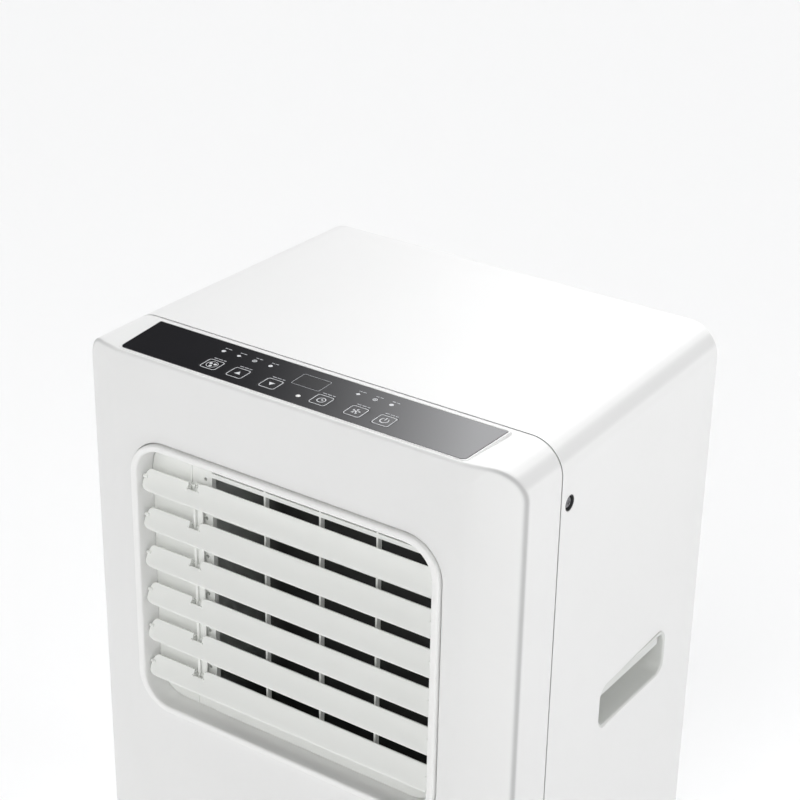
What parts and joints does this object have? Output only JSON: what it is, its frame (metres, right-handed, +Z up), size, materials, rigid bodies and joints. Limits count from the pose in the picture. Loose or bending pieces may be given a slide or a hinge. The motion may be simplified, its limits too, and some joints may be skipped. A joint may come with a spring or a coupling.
{
  "type": "portable air conditioner",
  "caption": "Portable air conditioner: upright cabinet on casters with a swinging louvre outlet, a top control strip, rear filters and an exhaust collar.",
  "frame": {"origin": "middle of the footprint, on the floor", "axes": "+Z up, front louvres face -Y, +X is the right side seen from the front"},
  "size_m": [0.434, 0.358, 0.7],
  "materials": {
    "white_abs": "satin injection-moulded ABS",
    "louvre_abs": "satin",
    "grey_abs": "fine texture",
    "strip_black": "high gloss",
    "key_black": "high gloss",
    "window": "high gloss, smoked",
    "ir": "dark translucent red",
    "board": "solder mask",
    "dark_plastic": "fine texture",
    "rubber": "matte",
    "coil_fin": "raw fin stock",
    "sheet_steel": "zinc plated",
    "screw_steel": "dark zinc",
    "copper": "drawn copper",
    "comp_paint": "satin black paint",
    "cap_body": "drawn can",
    "filter": "woven mesh in a frame",
    "blower": "moulded",
    "tyre": "hard nylon"
  },
  "bodies": {
    "root": {"base_pan": "dark_plastic", "front_housing": "white_abs", "rear_shell": "white_abs", "side_screw_right": "screw_steel", "side_screw_left": "screw_steel", "side_handle_right": "grey_abs", "side_handle_left": "grey_abs", "outlet_frame": "white_abs", "outlet_grille": "louvre_abs", "swing_motor": "sheet_steel", "control_strip": "strip_black", "display_window": "window", "ir_lens": "ir", "control_board": "board", "back_panel": "grey_abs", "exhaust_collar": "dark_plastic", "cord_gland": "rubber", "mid_deck": "grey_abs", "evaporator_coil": "coil_fin", "condenser_coil": "coil_fin", "upper_fan_housing": "dark_plastic", "upper_fan_motor": "sheet_steel", "lower_fan_housing": "dark_plastic", "lower_fan_motor": "sheet_steel", "compressor": "comp_paint", "compressor_grommet_1": "rubber", "compressor_grommet_2": "rubber", "compressor_grommet_3": "rubber", "suction_pipe": "copper", "discharge_pipe": "copper", "electrical_box": "sheet_steel", "electrical_box_cover": "sheet_steel", "run_capacitor": "cap_body"},
    "louvre_1": {"louvre_1": "louvre_abs"},
    "louvre_2": {"louvre_2": "louvre_abs"},
    "louvre_3": {"louvre_3": "louvre_abs"},
    "louvre_4": {"louvre_4": "louvre_abs"},
    "louvre_5": {"louvre_5": "louvre_abs"},
    "louvre_6": {"louvre_6": "louvre_abs"},
    "louvre_link": {"louvre_link": "louvre_abs"},
    "key_mode": {"key_mode": "key_black"},
    "key_up": {"key_up": "key_black"},
    "key_down": {"key_down": "key_black"},
    "key_timer": {"key_timer": "key_black"},
    "key_fan": {"key_fan": "key_black"},
    "key_power": {"key_power": "key_black"},
    "upper_blower_wheel": {"upper_blower_wheel": "blower"},
    "lower_blower_wheel": {"lower_blower_wheel": "blower"},
    "upper_filter": {"upper_filter": "filter"},
    "lower_filter": {"lower_filter": "filter"},
    "middle_drain_plug": {"middle_drain_plug": "rubber"},
    "bottom_drain_plug": {"bottom_drain_plug": "rubber"},
    "caster_fork_front_left": {"caster_fork_front_left": "dark_plastic"},
    "caster_wheel_front_left": {"caster_wheel_front_left": "tyre"},
    "caster_fork_front_right": {"caster_fork_front_right": "dark_plastic"},
    "caster_wheel_front_right": {"caster_wheel_front_right": "tyre"},
    "caster_fork_rear_left": {"caster_fork_rear_left": "dark_plastic"},
    "caster_wheel_rear_left": {"caster_wheel_rear_left": "tyre"},
    "caster_fork_rear_right": {"caster_fork_rear_right": "dark_plastic"},
    "caster_wheel_rear_right": {"caster_wheel_rear_right": "tyre"}
  },
  "joints": [
    {"name": "louvre_swing", "type": "hinge", "parent": "root", "child": "louvre_1", "pos_m": [0, -0.1699, 0.5845], "axis": [-1, 0, 0], "range_deg": [-20, 45]},
    {"name": "louvre_2_swing", "type": "hinge", "parent": "root", "child": "louvre_2", "pos_m": [0, -0.1699, 0.5475], "axis": [-1, 0, 0], "range_deg": [-20, 45]},
    {"name": "louvre_3_swing", "type": "hinge", "parent": "root", "child": "louvre_3", "pos_m": [0, -0.1699, 0.5105], "axis": [-1, 0, 0], "range_deg": [-20, 45]},
    {"name": "louvre_4_swing", "type": "hinge", "parent": "root", "child": "louvre_4", "pos_m": [0, -0.1699, 0.4735], "axis": [-1, 0, 0], "range_deg": [-20, 45]},
    {"name": "louvre_5_swing", "type": "hinge", "parent": "root", "child": "louvre_5", "pos_m": [0, -0.1699, 0.4365], "axis": [-1, 0, 0], "range_deg": [-20, 45]},
    {"name": "louvre_6_swing", "type": "hinge", "parent": "root", "child": "louvre_6", "pos_m": [0, -0.1699, 0.3995], "axis": [-1, 0, 0], "range_deg": [-20, 45]},
    {"name": "louvre_link_pivot", "type": "hinge", "parent": "louvre_1", "child": "louvre_link", "pos_m": [-0.096, -0.1624, 0.5845], "axis": [-1, 0, 0], "range_deg": [-45, 20]},
    {"name": "key_mode_press", "type": "slide", "parent": "root", "child": "key_mode", "axis": [0, 0, -1], "range_m": [0, 0.0006], "stiffness_N_per_m": 600, "springref_m": -0.0003},
    {"name": "key_up_press", "type": "slide", "parent": "root", "child": "key_up", "axis": [0, 0, -1], "range_m": [0, 0.0006], "stiffness_N_per_m": 600, "springref_m": -0.0003},
    {"name": "key_down_press", "type": "slide", "parent": "root", "child": "key_down", "axis": [0, 0, -1], "range_m": [0, 0.0006], "stiffness_N_per_m": 600, "springref_m": -0.0003},
    {"name": "key_timer_press", "type": "slide", "parent": "root", "child": "key_timer", "axis": [0, 0, -1], "range_m": [0, 0.0006], "stiffness_N_per_m": 600, "springref_m": -0.0003},
    {"name": "key_fan_press", "type": "slide", "parent": "root", "child": "key_fan", "axis": [0, 0, -1], "range_m": [0, 0.0006], "stiffness_N_per_m": 600, "springref_m": -0.0003},
    {"name": "key_power_press", "type": "slide", "parent": "root", "child": "key_power", "axis": [0, 0, -1], "range_m": [0, 0.0006], "stiffness_N_per_m": 600, "springref_m": -0.0003},
    {"name": "upper_blower_spin", "type": "hinge", "parent": "root", "child": "upper_blower_wheel", "pos_m": [0.02, 0.0472, 0.512], "axis": [0, 1, 0], "continuous": true},
    {"name": "lower_blower_spin", "type": "hinge", "parent": "root", "child": "lower_blower_wheel", "pos_m": [0.092, 0.0472, 0.214], "axis": [0, 1, 0], "continuous": true},
    {"name": "upper_filter_pull", "type": "slide", "parent": "root", "child": "upper_filter", "axis": [0, 1, 0], "range_m": [0, 0.06]},
    {"name": "lower_filter_pull", "type": "slide", "parent": "root", "child": "lower_filter", "axis": [0, 1, 0], "range_m": [0, 0.06]},
    {"name": "middle_drain_plug_pull", "type": "slide", "parent": "root", "child": "middle_drain_plug", "axis": [0, 1, 0], "range_m": [0, 0.03]},
    {"name": "bottom_drain_plug_pull", "type": "slide", "parent": "root", "child": "bottom_drain_plug", "axis": [0, 1, 0], "range_m": [0, 0.03]},
    {"name": "caster_front_left_swivel", "type": "hinge", "parent": "root", "child": "caster_fork_front_left", "pos_m": [-0.168, -0.132, 0.045], "axis": [0, 0, 1], "continuous": true},
    {"name": "caster_front_left_roll", "type": "hinge", "parent": "caster_fork_front_left", "child": "caster_wheel_front_left", "pos_m": [-0.168, -0.122, 0.019], "axis": [1, 0, 0], "continuous": true},
    {"name": "caster_front_right_swivel", "type": "hinge", "parent": "root", "child": "caster_fork_front_right", "pos_m": [0.168, -0.132, 0.045], "axis": [0, 0, 1], "continuous": true},
    {"name": "caster_front_right_roll", "type": "hinge", "parent": "caster_fork_front_right", "child": "caster_wheel_front_right", "pos_m": [0.168, -0.122, 0.019], "axis": [1, 0, 0], "continuous": true},
    {"name": "caster_rear_left_swivel", "type": "hinge", "parent": "root", "child": "caster_fork_rear_left", "pos_m": [-0.168, 0.128, 0.045], "axis": [0, 0, 1], "continuous": true},
    {"name": "caster_rear_left_roll", "type": "hinge", "parent": "caster_fork_rear_left", "child": "caster_wheel_rear_left", "pos_m": [-0.168, 0.138, 0.019], "axis": [1, 0, 0], "continuous": true},
    {"name": "caster_rear_right_swivel", "type": "hinge", "parent": "root", "child": "caster_fork_rear_right", "pos_m": [0.168, 0.128, 0.045], "axis": [0, 0, 1], "continuous": true},
    {"name": "caster_rear_right_roll", "type": "hinge", "parent": "caster_fork_rear_right", "child": "caster_wheel_rear_right", "pos_m": [0.168, 0.138, 0.019], "axis": [1, 0, 0], "continuous": true}
  ],
  "couplings": [
    {"joint": "louvre_2_swing", "follows": "louvre_swing", "ratio": 1},
    {"joint": "louvre_3_swing", "follows": "louvre_swing", "ratio": 1},
    {"joint": "louvre_4_swing", "follows": "louvre_swing", "ratio": 1},
    {"joint": "louvre_5_swing", "follows": "louvre_swing", "ratio": 1},
    {"joint": "louvre_6_swing", "follows": "louvre_swing", "ratio": 1},
    {"joint": "louvre_link_pivot", "follows": "louvre_swing", "ratio": -1}
  ]
}
